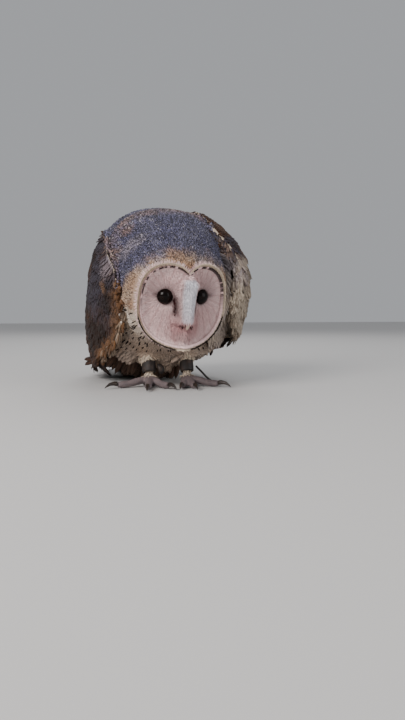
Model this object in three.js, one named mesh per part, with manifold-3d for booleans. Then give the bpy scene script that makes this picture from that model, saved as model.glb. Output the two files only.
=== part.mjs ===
// Barn owl (Tyto furcata), life size: a still model crouching with its head bowed and its wings a
// little drooped. Millimetres, +Z up. The owl faces -Y, its right side is towards -X, and it rests
// on z = 0. While it is built, x = 0, y = 0 lies between its two feet; the finished group is moved
// so that its origin lies on the floor under the middle of its length and width.
import * as THREE from 'three';
import { mergeVertices } from 'three/addons/utils/BufferGeometryUtils.js';
import Module from 'manifold-3d';

const wasm = await Module();
wasm.setup();

// ---------------------------------------------------------------- driving dimensions

const DISC_WIDTH = 91; // facial disc, rim to rim
const DISC_HEIGHT = 83; // top of its lobes to the chin
const DISC_CENTRE = { y: -62, z: 86 };
const HEAD_BOW = 12; // degrees that the face looks down
const HEAD_TURN = 9; // degrees that it looks to the owl's left
const FACE_FOLD = 15; // midline of the disc before its swept-back sides
const DISH_DEPTH = 4; // of each hollow half of the disc
const RIDGE_HEIGHT = 24; // bridge between the eyes before the disc's sides
const NOTCH_DEPTH = 13; // of the brow between the disc's lobes
const EYE_SPREAD = 37; // centre to centre
const EYE_HEIGHT = 10; // above the disc's centre
const EYE_DEPTH = 0.4; // eyeball's centre before the disc's sides
const EYE_RADIUS = 8.6;
const BILL_LENGTH = 21;
const BILL_HEIGHT = 0; // bill's root above the disc's centre

const FOOT_SPREAD = 42; // between the middles of the two feet
const TOE_LENGTH = 34;
const CLAW_LENGTH = 18;
const TAIL_WIDTH = 66;
const TAIL_TIP = 226; // behind the feet
const WING_DEPTH = 22; // of the folded wing at its thickest
const WING_EDGE = 2.2; // thickness of its lower edge
const FLIGHT_THICKNESS = 3.2; // of the stacked flight feathers
const FLIGHT_EDGE = 1.2;

const GAP = 0.3; // between neighbouring pieces
const DEGREE = Math.PI / 180;

// ---------------------------------------------------------------- materials

const paint = (color, roughness) => new THREE.MeshStandardMaterial({ color, roughness, metalness: 0 });
const GREY_PLUMAGE = paint(0x8a8894, 0.9);
const FACE_PLUMAGE = paint(0xe9dcd8, 0.9);
const WHITE_PLUMAGE = paint(0xe6dccd, 0.9);
const BROWN_PLUMAGE = paint(0x6f5844, 0.85);
const FLIGHT_PLUMAGE = paint(0x8a6a48, 0.8);
const TOE_SKIN = paint(0x8b7a78, 0.75);
const CLAW_HORN = paint(0x2a2422, 0.4);
const BILL_HORN = paint(0xd9c3b4, 0.45);
const EYE_DARK = paint(0x120b08, 0.08);
const LEATHER = paint(0x2b211c, 0.7);

// ---------------------------------------------------------------- solids and meshes

function toSolid(geometry) {
  const bare = geometry.clone();
  bare.deleteAttribute('normal');
  bare.deleteAttribute('uv');
  const merged = outward(mergeVertices(bare, 1e-4));
  const vertProperties = new Float32Array(merged.attributes.position.array);
  const triVerts = new Uint32Array(merged.index.array);
  return new wasm.Manifold(new wasm.Mesh({ numProp: 3, vertProperties, triVerts }));
}

function toGeometry(solid) {
  const mesh = solid.getMesh();
  const geometry = new THREE.BufferGeometry();
  geometry.setAttribute('position', new THREE.BufferAttribute(new Float32Array(mesh.vertProperties), 3));
  geometry.setIndex(new THREE.BufferAttribute(new Uint32Array(mesh.triVerts), 1));
  return geometry;
}

// The largest body of a solid: a cut can leave crumbs beside it.
function mainBody(solid) {
  const bodies = solid.decompose();
  return bodies.reduce((best, body) => (body.volume() > best.volume() ? body : best));
}

// Closed surface through rings of equally many points, with a fan at each end.
function skinRings(rings) {
  const around = rings[0].length;
  const positions = rings.flat().flatMap((p) => [p.x, p.y, p.z]);
  const ends = [rings[0], rings[rings.length - 1]].map((ring) => {
    const middle = new THREE.Vector3();
    ring.forEach((p) => middle.addScaledVector(p, 1 / around));
    return middle;
  });
  ends.forEach((p) => positions.push(p.x, p.y, p.z));
  const first = rings.length * around;
  const index = [];
  for (let i = 0; i < around; i += 1) {
    const next = (i + 1) % around;
    index.push(first, next, i);
    const last = (rings.length - 1) * around;
    index.push(first + 1, last + i, last + next);
    for (let ring = 0; ring < rings.length - 1; ring += 1) {
      const a = ring * around;
      const b = a + around;
      index.push(a + i, a + next, b + i, a + next, b + next, b + i);
    }
  }
  const geometry = new THREE.BufferGeometry();
  geometry.setAttribute('position', new THREE.Float32BufferAttribute(positions, 3));
  return geometry.setIndex(index);
}

// Turns the faces of a closed geometry outwards.
function outward(geometry) {
  const p = geometry.attributes.position;
  const index = geometry.index.array;
  const corner = [new THREE.Vector3(), new THREE.Vector3(), new THREE.Vector3()];
  let volume = 0;
  for (let i = 0; i < index.length; i += 3) {
    corner.forEach((v, k) => v.fromBufferAttribute(p, index[i + k]));
    volume += corner[0].dot(corner[1].clone().cross(corner[2]));
  }
  if (volume < 0) {
    for (let i = 0; i < index.length; i += 3) {
      [index[i + 1], index[i + 2]] = [index[i + 2], index[i + 1]];
    }
  }
  return geometry;
}

// ---------------------------------------------------------------- curves and profiles

const smooth = (low, high, value) => THREE.MathUtils.smoothstep(value, low, high);
const bell = (value, width) => Math.exp(-((value / width) ** 2));
const plateau = (value, width) => Math.exp(-(Math.abs(value / width) ** 3.2));
const signedPower = (value, power) => Math.sign(value) * Math.abs(value) ** power;

// A smooth curve through triples of numbers, read evenly from its first triple to its last.
function through(triples) {
  const curve = new THREE.CatmullRomCurve3(triples.map((t) => new THREE.Vector3(...t)));
  return (t) => curve.getPoint(t);
}

// Curved plate, such as a folded wing. Each rib is [upper edge, middle, lower edge], and the ribs
// follow each other from its front to its tip. edge gives its thickness along the upper and the
// lower edge, and lift moves the points of its outer face.
function ribPlate({ ribs, thickness, edge, rows, columns, lift = (p) => p }, grow = 0) {
  const lines = [0, 1, 2].map((k) => through(ribs.map((rib) => rib[k])));
  const surface = (s, t) => {
    const [a, b, c] = lines.map((line) => line(s));
    return a.multiplyScalar((1 - t) * (1 - 2 * t))
      .addScaledVector(b, 4 * t * (1 - t)).addScaledVector(c, t * (2 * t - 1));
  };
  const step = 0.02;
  const across = (s, t) => surface(s, t + step).sub(surface(s, t - step));
  const along = (s, t) => surface(Math.min(1, s + step), t).sub(surface(Math.max(0, s - step), t));
  const inward = (s, t) => {
    const normal = along(s, t).cross(across(s, t)).normalize();
    return normal.x * surface(s, t).x > 0 ? normal.negate() : normal;
  };
  const loops = [];
  for (let i = 0; i < rows; i += 1) {
    const s = i / (rows - 1);
    const loop = [];
    const full = thickness(s);
    const lengthen = i === 0 ? -grow : i === rows - 1 ? grow : 0;
    const point = (k, depth) => {
      const t = k / columns;
      const widen = k === 0 ? -grow : k === columns ? grow : 0;
      return lift(surface(s, t)).addScaledVector(inward(s, t), depth)
        .addScaledVector(across(s, t).normalize(), widen)
        .addScaledVector(along(s, t).normalize(), lengthen);
    };
    for (let k = 0; k <= columns; k += 1) loop.push(point(k, -grow));
    for (let k = columns; k >= 0; k -= 1) {
      const rim = THREE.MathUtils.lerp(...edge(s), k / columns);
      const bulk = Math.max(0, full - rim) * Math.sin((Math.PI * k) / columns) ** 0.7;
      loop.push(point(k, rim + bulk + grow));
    }
    loops.push(loop);
  }
  return toSolid(skinRings(loops));
}

// Round tapering rod along a smooth curve, with radius(t). Its cross direction is carried along.
function rod({ path, radius, rings, around, flat = 1 }, grow = 0) {
  const centre = through(path);
  const side = new THREE.Vector3(path[1][1] - path[0][1], path[0][0] - path[1][0], 0);
  if (side.length() < 1 || path.every((p) => p[0] === path[0][0])) side.set(1, 0, 0);
  const loops = [];
  for (let i = 0; i < rings; i += 1) {
    const t = i / (rings - 1);
    const along = centre(Math.min(1, t + 0.02)).sub(centre(Math.max(0, t - 0.02))).normalize();
    side.addScaledVector(along, -side.dot(along)).normalize();
    const up = side.clone().cross(along).normalize();
    const r = radius(t) + grow;
    const end = centre(t).addScaledVector(along, t === 0 ? -grow : t === 1 ? grow : 0);
    const loop = [];
    for (let k = 0; k < around; k += 1) {
      const angle = (2 * Math.PI * (k + 0.5)) / around;
      loop.push(end.clone().addScaledVector(side, r * Math.cos(angle))
        .addScaledVector(up, r * flat * Math.sin(angle)));
    }
    loops.push(loop);
  }
  return toSolid(skinRings(loops));
}

// ---------------------------------------------------------------- head

// Point of the head: across to the owl's left, up the face and forward out of it, from the middle
// of the disc's rim.
const UPRIGHT = new THREE.Vector3(0, 0, 1);
const BOW = HEAD_BOW * DEGREE;
const TURN = HEAD_TURN * DEGREE;
function headPoint(across, up, forward) {
  const ahead = up * Math.sin(BOW) + forward * Math.cos(BOW);
  const rise = up * Math.cos(BOW) - forward * Math.sin(BOW);
  const turned = new THREE.Vector3(across, -ahead, rise).applyAxisAngle(UPRIGHT, TURN);
  return turned.add(new THREE.Vector3(0, DISC_CENTRE.y, DISC_CENTRE.z));
}

// Rim of the heart-shaped disc, as a distance from its centre: angle 0 is the notch in the brow,
// and share is how much of that notch is there.
function discRim(angle, share = 1) {
  const turn = Math.abs(Math.atan2(Math.sin(angle), Math.cos(angle)));
  const up = Math.cos(turn);
  const power = up > 0 ? 3 : 2.15;
  const half = DISC_WIDTH / 2;
  const tall = DISC_HEIGHT * (up > 0 ? 0.54 : 0.488);
  const oval = ((Math.sin(turn) / half) ** power + (Math.abs(up) / tall) ** power) ** (-1 / power);
  return oval - share * NOTCH_DEPTH * Math.exp(-turn / (11 * DEGREE));
}

// The disc's two halves are folded back from its midline.
const fold = (across) => FACE_FOLD * Math.max(0, 1 - Math.abs(across) / (DISC_WIDTH / 2));

// Relief of the face before the disc's sides.
function faceRelief(across, up) {
  const reach = Math.hypot(across, up) / discRim(Math.atan2(across, up));
  const dish = -DISH_DEPTH * (1 - reach ** 2) - 2.5 * bell(reach - 0.8, 0.15);
  const alongBridge = (1 - smooth(20, 34, up)) * smooth(-19, -12, up);
  const bridgeHeight = RIDGE_HEIGHT - FACE_FOLD + DISH_DEPTH;
  const bridge = bridgeHeight * alongBridge * plateau(across, 8.4 + 0.08 * Math.max(0, up));
  const chin = 3 * bell(up + 27, 9) * bell(across, 14);
  return fold(across) + dish + bridge + chin;
}

function eyeBall(side, grow = 0) {
  const ball = new THREE.SphereGeometry(EYE_RADIUS + grow, 12, 7);
  const at = headPoint((side * EYE_SPREAD) / 2, EYE_HEIGHT, EYE_DEPTH);
  return toSolid(ball.translate(at.x, at.y, at.z));
}

// The bill hooks down the midline of the face; most of it lies in the bristles.
function upperBill(grow = 0) {
  return rod({
    path: [
      headPoint(0, BILL_HEIGHT, RIDGE_HEIGHT - 13).toArray(),
      headPoint(0, BILL_HEIGHT - BILL_LENGTH * 0.4, RIDGE_HEIGHT - 6).toArray(),
      headPoint(0, BILL_HEIGHT - BILL_LENGTH * 0.75, RIDGE_HEIGHT - 4).toArray(),
      headPoint(0, BILL_HEIGHT - BILL_LENGTH, RIDGE_HEIGHT - 7.5).toArray(),
    ],
    radius: (t) => 4 * (1 - t) ** 0.7 + 0.5,
    rings: 7,
    around: 10,
  }, grow);
}

function lowerBill(grow = 0) {
  return rod({
    path: [
      headPoint(0, BILL_HEIGHT - BILL_LENGTH * 0.5, RIDGE_HEIGHT - 14).toArray(),
      headPoint(0, BILL_HEIGHT - BILL_LENGTH * 0.72, RIDGE_HEIGHT - 10).toArray(),
      headPoint(0, BILL_HEIGHT - BILL_LENGTH * 0.9, RIDGE_HEIGHT - 8.5).toArray(),
    ],
    radius: (t) => 3.2 * (1 - t) ** 0.6 + 0.6,
    rings: 5,
    around: 8,
  }, grow);
}

// ---------------------------------------------------------------- body and tail

// The body from the disc's rim to the vent, as sections that lean with it: [y, z, lean in degrees],
// and [half width, height above that middle, depth below it].
const SECTIONS = [
  { at: [-62, 86, 12], size: [45.5, 44, 41] },
  { at: [-51, 92, 14], size: [53, 53, 46] },
  { at: [-37, 99, 14], size: [56, 60, 56] },
  { at: [-18, 106, 11], size: [60, 68, 72] },
  { at: [4, 111, 3], size: [69, 78, 87] },
  { at: [26, 110, -9], size: [77, 89, 92] },
  { at: [48, 103, -20], size: [80, 91, 89] },
  { at: [70, 92, -31], size: [76, 82, 84] },
  { at: [90, 78, -41], size: [66, 69, 76] },
  { at: [108, 63, -50], size: [53, 53, 66] },
  { at: [124, 49, -56], size: [38, 37, 52] },
  { at: [138, 38, -62], size: [20, 20, 32] },
];
const FULLNESS = 2.3; // of a section: 2 is an ellipse
const FACE_RINGS = [0.12, 0.25, 0.38, 0.52, 0.67, 0.82, 0.96]; // shares of the way to the rim
const SECTION_RINGS = 15;
const BODY_AROUND = 32;
const HEAD_SHARE = 0.4; // of the sections, that turn with the face, less and less

function sectionRadius(angle, wide, high, low) {
  const up = Math.cos(angle);
  const tall = up > 0 ? high : low;
  const reach = (Math.abs(Math.sin(angle)) / wide) ** FULLNESS + (Math.abs(up) / tall) ** FULLNESS;
  return reach ** (-1 / FULLNESS);
}

// Head, neck and trunk in one closed form: rings over the face, then sections back to the vent.
function bodyForm(grow = 0) {
  const loops = [];
  const ring = (place) => {
    const loop = [];
    for (let k = 0; k < BODY_AROUND; k += 1) loop.push(place((2 * Math.PI * k) / BODY_AROUND));
    loops.push(loop);
  };
  FACE_RINGS.forEach((reach) => ring((angle) => {
    const r = discRim(angle, smooth(0.6, 1, reach)) * reach;
    const across = r * Math.sin(angle);
    const up = r * Math.cos(angle);
    return headPoint(across, up, faceRelief(across, up) + grow);
  }));
  const middle = through(SECTIONS.map((section) => section.at));
  const size = through(SECTIONS.map((section) => section.size));
  for (let i = 0; i < SECTION_RINGS; i += 1) {
    const t = (i / (SECTION_RINGS - 1)) ** 1.15;
    const [y, z, lean] = middle(t).toArray();
    const up = new THREE.Vector3(0, -Math.sin(lean * DEGREE), Math.cos(lean * DEGREE));
    const heart = 1 - smooth(0, 0.15, t);
    const turn = TURN * (1 - smooth(0, HEAD_SHARE, t));
    ring((angle) => {
      const rim = discRim(angle, heart ** 4) + 1.6;
      const r = rim * heart + sectionRadius(angle, ...size(t).toArray()) * (1 - heart) + grow;
      const across = r * Math.sin(angle);
      const ahead = fold(across) * (1 - smooth(0, 0.25, t));
      return new THREE.Vector3(across, -ahead * Math.cos(BOW), -ahead * Math.sin(BOW))
        .addScaledVector(up, r * Math.cos(angle))
        .applyAxisAngle(UPRIGHT, turn).add(new THREE.Vector3(0, y, z));
    });
  }
  return toSolid(skinRings(loops));
}

// The closed tail, squared off at its tip, which lies on the floor.
function tailForm() {
  const path = through([[0, 92, 54], [0, 128, 27], [0, 170, 9.5], [0, TAIL_TIP, 3.2]]);
  const loops = [];
  const rings = 7;
  const around = 14;
  for (let i = 0; i < rings; i += 1) {
    const t = i / (rings - 1);
    const c = path(t);
    const along = path(Math.min(1, t + 0.02)).sub(path(Math.max(0, t - 0.02))).normalize();
    const up = new THREE.Vector3(0, -along.z, along.y);
    const wide = (TAIL_WIDTH / 2) * (0.7 + 0.3 * t);
    const high = 12 * (1 - t) ** 1.2 + 2.4;
    const loop = [];
    for (let k = 0; k < around; k += 1) {
      const angle = (2 * Math.PI * k) / around;
      const across = wide * signedPower(Math.sin(angle), 0.75);
      const rise = high * signedPower(Math.cos(angle), 0.8);
      const roof = -8 * (across / wide) ** 2 * (1 - 0.7 * t);
      loop.push(c.clone().add(new THREE.Vector3(across, 0, 0)).addScaledVector(up, rise + roof));
    }
    loops.push(loop);
  }
  return toSolid(skinRings(loops));
}

// ---------------------------------------------------------------- wings

// Ribs from the wrist backwards: [upper edge, middle, lower edge].
const RIGHT_WING = [
  [[-62, -28, 128], [-60, -40, 108], [-48, -42, 84]],
  [[-67, -6, 146], [-74, -8, 112], [-57, -18, 57]],
  [[-62, 28, 164], [-82, 26, 108], [-66, 14, 38]],
  [[-60, 64, 162], [-84, 60, 90], [-74, 50, 24]],
  [[-61, 98, 130], [-78, 98, 72], [-73, 88, 16]],
  [[-51, 124, 98], [-66, 126, 60], [-67, 120, 26]],
];
const LEFT_WING = [
  [[50, -10, 172], [79, -22, 124], [64, -20, 82]],
  [[36, 16, 194], [92, 6, 136], [81, 2, 57]],
  [[38, 48, 192], [92, 42, 120], [82, 36, 48]],
  [[45, 86, 169], [88, 80, 95], [75, 70, 38]],
  [[57, 114, 118], [76, 112, 70], [68, 104, 32]],
  [[44, 134, 90], [64, 136, 60], [62, 130, 36]],
];

const SPINE = { back: 100, height: 92 }; // line inside the body that the wings are lifted away from
const WING_STEP = 3; // least height of a wing's face over the body
const seenFromInside = new THREE.MeshBasicMaterial({ side: THREE.BackSide });
const bodySurface = new THREE.Mesh(toGeometry(bodyForm()), seenFromInside);

// Moves a point out, away from the spine, until it lies clear of the body.
function clearOfBody(p) {
  const spine = new THREE.Vector3(0, Math.min(p.y, SPINE.back), SPINE.height);
  const away = p.clone().sub(spine);
  const ray = new THREE.Raycaster(spine, away.clone().normalize());
  const least = ray.intersectObject(bodySurface)[0].distance + WING_STEP;
  return away.length() < least ? spine.addScaledVector(away.normalize(), least) : p;
}

function wingForm(ribs, grow = 0) {
  const thickness = (s) => WING_DEPTH * (0.4 + 0.6 * smooth(0, 0.2, s) - 0.82 * smooth(0.35, 1, s));
  const edge = (s) => [4 + 12 * Math.sin(Math.PI * s), WING_EDGE];
  return ribPlate({ ribs, thickness, edge, rows: 13, columns: 7, lift: clearOfBody }, grow);
}

// Secondaries and primaries, folded: from under the coverts to the wing tip.
const RIGHT_FLIGHT = [
  [[-58, 26, 90], [-66, 26, 70], [-58, 24, 52]],
  [[-56, 64, 92], [-74, 62, 56], [-62, 54, 18]],
  [[-50, 112, 78], [-72, 110, 38], [-54, 96, 4]],
  [[-38, 160, 50], [-60, 158, 22], [-48, 146, 2.4]],
  [[-28, 205, 30], [-44, 206, 13], [-42, 198, 2.4]],
  [[-24, 236, 12], [-31, 238, 7], [-34, 236, 3]],
];
const LEFT_FLIGHT = [
  [[70, 26, 98], [78, 26, 80], [70, 24, 56]],
  [[62, 66, 96], [80, 64, 68], [69, 60, 42]],
  [[50, 114, 80], [72, 112, 48], [62, 104, 26]],
  [[38, 162, 54], [56, 162, 30], [54, 156, 13]],
  [[28, 208, 31], [42, 209, 17], [44, 204, 5]],
  [[24, 240, 14], [30, 242, 8], [33, 240, 3]],
];

function flightForm(ribs, grow = 0) {
  const thickness = () => FLIGHT_THICKNESS;
  const edge = () => [FLIGHT_EDGE, FLIGHT_EDGE];
  return ribPlate({ ribs, thickness, edge, rows: 9, columns: 4 }, grow);
}

// ---------------------------------------------------------------- legs

const SIDES = { right: -1, left: 1 };

function thighForm(side, grow = 0) {
  const x = (side * FOOT_SPREAD) / 2;
  return rod({
    path: [[x * 1.35, 34, 74], [x * 1.2, 20, 48], [x, 6, 25]],
    radius: (t) => 24 - 15.5 * t ** 0.8,
    rings: 5,
    around: 10,
  }, grow);
}

function tarsusForm(side, grow = 0) {
  const x = (side * FOOT_SPREAD) / 2;
  return rod({
    path: [[x * 1.1, 20, 46], [x, 6, 26], [x, 0, 8]],
    radius: (t) => 5.2 - 0.6 * t,
    rings: 4,
    around: 10,
  }, grow);
}

// Each toe: degrees outward from straight ahead, and length as a share of the middle toe's.
const TOES = {
  inner: { right: -22, left: -22, length: 0.86 },
  middle: { right: 13, left: -3, length: 1 },
  outer: { right: 70, left: 45, length: 0.92 },
  hind: { right: 186, left: 161, length: 0.52 },
};
const TOE_RADIUS = 4.4;
const FOOT_RADIUS = 7.5;

function toeLine(side, toe) {
  const angle = (side < 0 ? toe.right : toe.left) * DEGREE;
  const ahead = new THREE.Vector3(side * Math.sin(angle), -Math.cos(angle), 0);
  const start = new THREE.Vector3((side * FOOT_SPREAD) / 2, 0, 0);
  return (distance, height) => start.clone().addScaledVector(ahead, distance).setZ(height).toArray();
}

function toeForm(side, toe, grow = 0) {
  const at = toeLine(side, toe);
  const reach = FOOT_RADIUS + TOE_LENGTH * toe.length;
  return rod({
    path: [at(3, 7.6), at(reach * 0.35, 6.4), at(reach * 0.7, 3.9), at(reach, 4.1)],
    radius: (t) => TOE_RADIUS * (1 - 0.2 * t) * (1 + 0.06 * Math.cos(t * Math.PI * 5)),
    rings: 6,
    around: 8,
  }, grow);
}

function clawForm(side, toe, grow = 0) {
  const at = toeLine(side, toe);
  const start = FOOT_RADIUS + TOE_LENGTH * toe.length - 2;
  const length = CLAW_LENGTH * (0.75 + 0.25 * toe.length);
  return rod({
    path: [
      at(start, 4.4), at(start + length * 0.45, 5.6),
      at(start + length * 0.78, 3.6), at(start + length, 0.7),
    ],
    radius: (t) => 2.7 * (1 - t) ** 0.8 + 0.35,
    rings: 5,
    around: 6,
  }, grow);
}

function footForm(side, grow = 0) {
  const pad = new THREE.SphereGeometry(1, 12, 7);
  pad.scale(FOOT_RADIUS + grow, FOOT_RADIUS + 1 + grow, 8.5 + grow);
  return toSolid(pad.translate((side * FOOT_SPREAD) / 2, 1, 5.2));
}

// Leather band round the tarsus, leaning back with it.
const ANKLET = { inner: 5.6, outer: 7.6, height: 13, lean: 20, y: 3.5, z: 20.5, around: 12 };

function anklet(side, grow = 0) {
  const x = (side * FOOT_SPREAD) / 2;
  const { inner } = ANKLET;
  const outer = ANKLET.outer + grow;
  const half = ANKLET.height / 2 + grow;
  const chamfer = 0.8;
  const profile = [
    [inner, -half], [outer, chamfer - half], [outer + 0.4, 0], [outer, half - chamfer], [inner, half],
  ];
  const points = [...profile, profile[0]].map(([r, z]) => new THREE.Vector2(r, z));
  const upright = new THREE.LatheGeometry(points, ANKLET.around).rotateX(Math.PI / 2);
  return toSolid(upright.rotateX(-ANKLET.lean * DEGREE).translate(x, ANKLET.y, ANKLET.z));
}

// Short ends of the jesses: a knot beside the right anklet, a loose strap beside the left one.
const STRAPS = {
  right: {
    path: [[-11.5, -1, 24], [-9, -4, 19], [-9.5, -5, 13.5]],
    radius: (t) => 2.4 + 2.2 * Math.sin(Math.PI * t),
    flat: 0.7,
  },
  left: {
    path: [[31, 2, 21], [38, 0, 13.5], [47, -3, 4.5], [60, -1, 2.2]],
    radius: () => 3,
    flat: 0.4,
  },
};

function strapForm(name) {
  return rod({ ...STRAPS[name], rings: 7, around: 8 });
}

// ---------------------------------------------------------------- putting the owl together

const group = new THREE.Group();

function place(name, solid, material) {
  const mesh = new THREE.Mesh(toGeometry(mainBody(solid)), material);
  mesh.name = name;
  group.add(mesh);
}

// Keeps what lies on the side of a plane that its normal points to.
function keep(solid, normal, point) {
  const n = new THREE.Vector3(...normal).normalize();
  return solid.trimByPlane(n.toArray(), n.dot(new THREE.Vector3(...point)) + GAP / 2);
}

const onFloor = (solid) => solid.trimByPlane([0, 0, 1], 0);

// Cuts between head and neck and between neck and trunk, which meet near the throat.
const cutPlane = (y, z, lean) => ({
  point: [0, y, z],
  forward: [0, -Math.cos(lean * DEGREE), -Math.sin(lean * DEGREE)],
});
const HEAD_CUT = cutPlane(-28, 103, 18);
const NECK_CUT = cutPlane(3, 111, -2);
const before = (solid, cut) => keep(solid, cut.forward, cut.point);
const behind = (solid, cut) => keep(solid, cut.forward.map((c) => -c), cut.point);
const without = (solid, others) => others.reduce((rest, other) => rest.subtract(other), solid);

const sides = Object.values(SIDES);
const legs = sides.flatMap((side) => [thighForm(side, GAP), anklet(side, GAP), tarsusForm(side, GAP)]);
const body = bodyForm();
const inFace = [...sides.map((side) => eyeBall(side, GAP)), upperBill(GAP), lowerBill(GAP)];
place('head', without(before(body, HEAD_CUT), inFace), FACE_PLUMAGE);
place('bill_upper', upperBill(), BILL_HORN);
place('bill_lower', lowerBill().subtract(upperBill(GAP)), BILL_HORN);
place('neck', before(behind(body, HEAD_CUT), NECK_CUT), GREY_PLUMAGE);
place('trunk', without(behind(behind(body, HEAD_CUT), NECK_CUT), legs), WHITE_PLUMAGE);
const hiddenByBody = bodyForm(GAP);
place('tail', onFloor(tailForm().subtract(hiddenByBody)), FLIGHT_PLUMAGE);

const WINGS = {
  right: { wing: RIGHT_WING, flight: RIGHT_FLIGHT },
  left: { wing: LEFT_WING, flight: LEFT_FLIGHT },
};
Object.entries(WINGS).forEach(([name, ribs]) => {
  const inside = hiddenByBody.add(thighForm(SIDES[name], GAP));
  place(`wing_${name}`, onFloor(wingForm(ribs.wing).subtract(inside)), BROWN_PLUMAGE);
  const hidden = inside.add(wingForm(ribs.wing, 2 * GAP)).add(tailForm());
  place(`flight_${name}`, onFloor(flightForm(ribs.flight).subtract(hidden)), FLIGHT_PLUMAGE);
});

Object.entries(SIDES).forEach(([name, side]) => {
  place(`eye_${name}`, eyeBall(side), EYE_DARK);
  const bareLeg = tarsusForm(side, GAP);
  place(`thigh_${name}`, thighForm(side).subtract(bareLeg).subtract(anklet(side, GAP)), WHITE_PLUMAGE);
  place(`tarsus_${name}`, tarsusForm(side).subtract(footForm(side, GAP)), WHITE_PLUMAGE);
  place(`anklet_${name}`, anklet(side).subtract(bareLeg), LEATHER);
  const strap = strapForm(name).subtract(anklet(side, GAP)).subtract(thighForm(side, GAP));
  place(`strap_${name}`, onFloor(strap.subtract(hiddenByBody)), LEATHER);
  place(`foot_${name}`, onFloor(footForm(side)), TOE_SKIN);
  let taken = footForm(side, GAP);
  Object.entries(TOES).forEach(([toeName, toe]) => {
    place(`toe_${name}_${toeName}`, onFloor(toeForm(side, toe).subtract(taken)), TOE_SKIN);
    taken = taken.add(toeForm(side, toe, GAP));
    const claw = clawForm(side, toe).subtract(toeForm(side, toe, GAP));
    place(`claw_${name}_${toeName}`, onFloor(claw), CLAW_HORN);
  });
});

const box = new THREE.Box3().setFromObject(group);
const middle = box.getCenter(new THREE.Vector3());
group.position.set(-middle.x, -middle.y, -box.min.z);

export default group;
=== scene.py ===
"""Barn owl, life size: one skin under a coat of mesh feathers, with eyes, bill, claws and anklets."""

import math

import bpy
import numpy as np
from mathutils import Matrix, Vector
from mathutils.bvhtree import BVHTree


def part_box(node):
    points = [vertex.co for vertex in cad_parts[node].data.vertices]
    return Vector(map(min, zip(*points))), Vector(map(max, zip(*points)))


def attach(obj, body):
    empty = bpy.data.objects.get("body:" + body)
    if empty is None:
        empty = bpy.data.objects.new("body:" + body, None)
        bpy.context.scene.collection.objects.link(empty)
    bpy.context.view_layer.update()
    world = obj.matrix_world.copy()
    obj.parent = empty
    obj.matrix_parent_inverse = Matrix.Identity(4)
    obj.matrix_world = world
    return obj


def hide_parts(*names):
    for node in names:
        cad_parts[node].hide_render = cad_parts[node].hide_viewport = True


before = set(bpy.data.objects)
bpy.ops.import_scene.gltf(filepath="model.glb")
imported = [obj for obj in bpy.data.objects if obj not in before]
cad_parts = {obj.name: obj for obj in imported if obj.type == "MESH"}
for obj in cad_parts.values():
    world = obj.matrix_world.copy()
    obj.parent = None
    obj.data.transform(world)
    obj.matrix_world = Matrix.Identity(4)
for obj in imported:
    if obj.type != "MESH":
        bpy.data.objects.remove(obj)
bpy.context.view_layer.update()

# ---- the owl's own frame ----
# Millimetres from the point on the floor between the feet: x to the owl's left, y behind it, z up.

feet = [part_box("foot_right"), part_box("foot_left")]
middle = sum(((low + high) / 2 for low, high in feet), Vector()) / 2 * 1000
FEET_BACK = 1.0  # the middle of the feet lies this far behind the owl's own zero
ORIGIN = np.array([middle.x, middle.y - FEET_BACK, 0.0])

DISC_WIDTH = 91.0
DISC_HEIGHT = 83.0
DISC_CENTRE = np.array([0.0, -62.0, 86.0])
FACE_FOLD = 15.0
DISH_DEPTH = 4.0
RIDGE_HEIGHT = 24.0
NOTCH_DEPTH = 13.0
EYE_SPREAD = 37.0
EYE_HEIGHT = 10.0
EYE_DEPTH = 0.4
EYE_RADIUS = 8.6
LID_RADIUS = 7.2
NOSTRIL_SIDE = 3.8
CHIN_UP = -27
FACE_BACK = -6  # the face's own skin lies before this depth

# The face looks down by its bow and to the owl's left by its turn.
HEAD_BOW, HEAD_TURN = math.radians(12), math.radians(9)
AHEAD = np.array([math.sin(HEAD_TURN), -math.cos(HEAD_TURN), 0.0])
FACE_ACROSS = np.array([math.cos(HEAD_TURN), math.sin(HEAD_TURN), 0.0])
FACE_UP = AHEAD * math.sin(HEAD_BOW) + np.array([0.0, 0.0, math.cos(HEAD_BOW)])
FACE_OUT = AHEAD * math.cos(HEAD_BOW) - np.array([0.0, 0.0, math.sin(HEAD_BOW)])

SIDES = {"right": -1, "left": 1}
TOE_NAMES = ("inner", "middle", "outer", "hind")
SKIN_VOXEL = 1.3


def to_row(points):
    """Owl millimetres to the frame's metres."""
    return (np.asarray(points, float) + ORIGIN) / 1000


def smooth(low, high, value):
    t = np.clip((value - low) / (high - low), 0, 1)
    return t * t * (3 - 2 * t)


def bell(value, width):
    return np.exp(-((value / width) ** 2))


def unit(vectors):
    return vectors / np.maximum(np.linalg.norm(vectors, axis=-1, keepdims=True), 1e-9)


def mix(a, b, share):
    share = np.asarray(share)[..., None]
    return np.asarray(a) * (1 - share) + np.asarray(b) * share


def noise(points, size, seed=0):
    """Smooth random values from 0 to 1 that change over about size millimetres."""
    q = np.asarray(points) / size + seed * 17.31
    cell = np.floor(q).astype(np.int64)
    f = q - cell
    f = f * f * (3 - 2 * f)
    total = np.zeros(len(q))
    for corner in range(8):
        step = np.array([corner & 1, corner >> 1 & 1, corner >> 2 & 1])
        c = cell + step
        h = (c[:, 0] * 73856093) ^ (c[:, 1] * 19349663) ^ (c[:, 2] * 83492791)
        h = (h ^ (h >> 13)) * 1274126177
        value = ((h ^ (h >> 16)) & 65535) / 65535
        total += value * np.prod(np.where(step, f, 1 - f), axis=1)
    return total


# ---- meshes ----


def placed(name, data):
    """A new object, linked to the scene."""
    new = bpy.data.objects.new(name, data)
    bpy.context.scene.collection.objects.link(new)
    return new


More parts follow.
